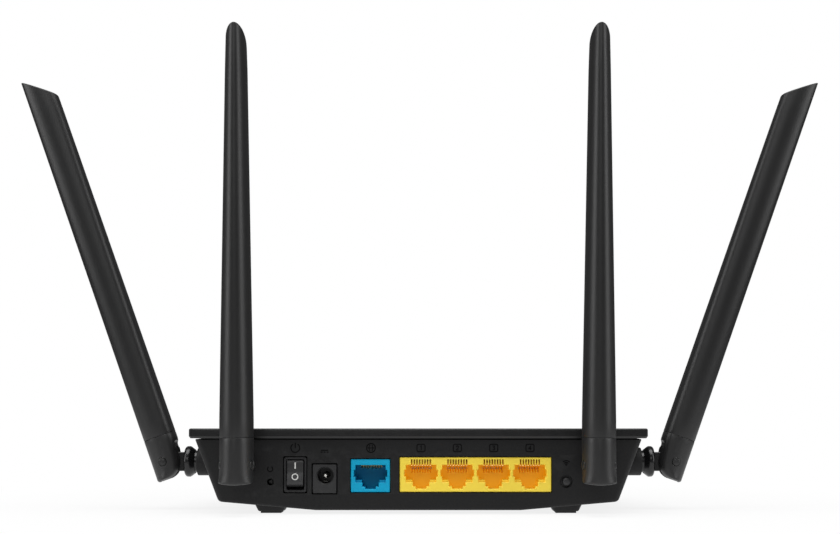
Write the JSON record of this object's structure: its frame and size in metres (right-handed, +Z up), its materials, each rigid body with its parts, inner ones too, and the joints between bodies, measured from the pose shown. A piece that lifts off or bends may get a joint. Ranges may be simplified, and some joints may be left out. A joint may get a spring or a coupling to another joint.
{
  "type": "wireless router",
  "caption": "Flat wireless router with a rear jack panel, a power rocker, small push buttons and hinged swivelling antennas at its rear and ends.",
  "frame": {"origin": "on the surface it stands on, at the middle of the whole object's box in X and Y", "axes": "+Z up; the rear panel with the jacks faces -Y; +X is to the right when looking at the rear panel"},
  "size_m": [0.3268, 0.1388, 0.1852],
  "materials": {
    "case_plastic": "fine moulded texture, very dark grey",
    "lid_plastic": "satin black",
    "antenna_plastic": "satin dark grey",
    "swivel_plastic": "half-gloss black",
    "switch_plastic": "half-gloss black",
    "lan_resin": "yellow",
    "wan_resin": "blue",
    "contact_gold": "gold plated",
    "nickel": "nickel plated",
    "screw_steel": "zinc plated",
    "board_laminate": "green solder mask",
    "shield_tin": "tinned",
    "sink_aluminium": "extruded",
    "epoxy": "black moulding compound",
    "pad_rubber": "black",
    "label_film": "blank pale film",
    "clear_guide": "clear moulded plastic",
    "element_copper": "copper on laminate",
    "coax_jacket": "thin cable jacket"
  },
  "bodies": {
    "case": {"base_case": "case_plastic", "top_cover": "lid_plastic", "light_guide": "clear_guide", "rating_label": "label_film", "foot_pad_rear_left": "pad_rubber", "foot_pad_rear_right": "pad_rubber", "foot_pad_front_left": "pad_rubber", "foot_pad_front_right": "pad_rubber", "case_screw_rear_left": "screw_steel", "case_screw_rear_right": "screw_steel", "case_screw_front_left": "screw_steel", "case_screw_front_right": "screw_steel", "board_screw_left": "screw_steel", "board_screw_right": "screw_steel", "main_board": "board_laminate", "lan_jack_block": "lan_resin", "wan_jack": "wan_resin", "lan_contacts_1": "contact_gold", "lan_contacts_2": "contact_gold", "lan_contacts_3": "contact_gold", "lan_contacts_4": "contact_gold", "wan_contacts": "contact_gold", "dc_jack_body": "epoxy", "lan_transformer": "epoxy", "wan_transformer": "epoxy", "wps_switch": "epoxy", "reset_switch": "epoxy", "dc_jack_pin": "nickel", "dc_jack_spring": "nickel", "shield_can_2g": "shield_tin", "shield_can_5g": "shield_tin", "heat_sink": "sink_aluminium", "power_switch_housing": "switch_plastic", "rear_left_coax_lead": "coax_jacket", "rear_right_coax_lead": "coax_jacket", "side_left_coax_lead": "coax_jacket", "side_right_coax_lead": "coax_jacket"},
    "power_rocker": {"power_rocker": "switch_plastic"},
    "wps_button": {"wps_button": "switch_plastic"},
    "reset_plunger": {"reset_plunger": "switch_plastic"},
    "rear_left_swivel": {"rear_left_antenna_base": "swivel_plastic"},
    "rear_left_arm": {"rear_left_hinge_pin": "screw_steel", "rear_left_antenna_housing": "antenna_plastic", "rear_left_antenna_sleeve": "antenna_plastic", "rear_left_radiating_element": "element_copper"},
    "rear_right_swivel": {"rear_right_antenna_base": "swivel_plastic"},
    "rear_right_arm": {"rear_right_hinge_pin": "screw_steel", "rear_right_antenna_housing": "antenna_plastic", "rear_right_antenna_sleeve": "antenna_plastic", "rear_right_radiating_element": "element_copper"},
    "side_left_swivel": {"side_left_antenna_base": "swivel_plastic"},
    "side_left_arm": {"side_left_hinge_pin": "screw_steel", "side_left_antenna_housing": "antenna_plastic", "side_left_antenna_sleeve": "antenna_plastic", "side_left_radiating_element": "element_copper"},
    "side_right_swivel": {"side_right_antenna_base": "swivel_plastic"},
    "side_right_arm": {"side_right_hinge_pin": "screw_steel", "side_right_antenna_housing": "antenna_plastic", "side_right_antenna_sleeve": "antenna_plastic", "side_right_radiating_element": "element_copper"}
  },
  "joints": [
    {"name": "rear_left_swivel", "type": "hinge", "parent": "case", "child": "rear_left_swivel", "pos_m": [-0.068, -0.06392, 0.0192], "axis": [0, 1, 0], "range_deg": [-89.5, 45.5]},
    {"name": "rear_left_tilt", "type": "hinge", "parent": "rear_left_swivel", "child": "rear_left_arm", "pos_m": [-0.068, -0.06392, 0.0192], "axis": [1, 0, 0.0061], "range_deg": [0, 90]},
    {"name": "rear_right_swivel", "type": "hinge", "parent": "case", "child": "rear_right_swivel", "pos_m": [0.068, -0.06392, 0.0192], "axis": [0, 1, 0], "range_deg": [-45.5, 89.5]},
    {"name": "rear_right_tilt", "type": "hinge", "parent": "rear_right_swivel", "child": "rear_right_arm", "pos_m": [0.068, -0.06392, 0.0192], "axis": [1, 0, -0.0061], "range_deg": [0, 90]},
    {"name": "side_left_swivel", "type": "hinge", "parent": "case", "child": "side_left_swivel", "pos_m": [-0.1033, -0.01443, 0.0192], "axis": [1, 0, 0], "range_deg": [-90, 90]},
    {"name": "side_left_tilt", "type": "hinge", "parent": "side_left_swivel", "child": "side_left_arm", "pos_m": [-0.1033, -0.01443, 0.0192], "axis": [0, -1, 0], "range_deg": [-19.4, 70.6]},
    {"name": "side_right_swivel", "type": "hinge", "parent": "case", "child": "side_right_swivel", "pos_m": [0.1033, -0.01443, 0.0192], "axis": [1, 0, 0], "range_deg": [-90, 90]},
    {"name": "side_right_tilt", "type": "hinge", "parent": "side_right_swivel", "child": "side_right_arm", "pos_m": [0.1033, -0.01443, 0.0192], "axis": [0, 1, 0], "range_deg": [-19.4, 70.6]},
    {"name": "power_rocker_tip", "type": "hinge", "parent": "case", "child": "power_rocker", "pos_m": [-0.0473, -0.04412, 0.01502], "axis": [1, 0, 0], "range_deg": [0, 22]},
    {"name": "wps_press", "type": "slide", "parent": "case", "child": "wps_button", "axis": [0, 1, 0], "range_m": [0, 0.0004], "stiffness_N_per_m": 300, "springref_m": -0.0004},
    {"name": "reset_press", "type": "slide", "parent": "case", "child": "reset_plunger", "axis": [0, 1, 0], "range_m": [0, 0.0003], "stiffness_N_per_m": 300, "springref_m": -0.0004}
  ]
}
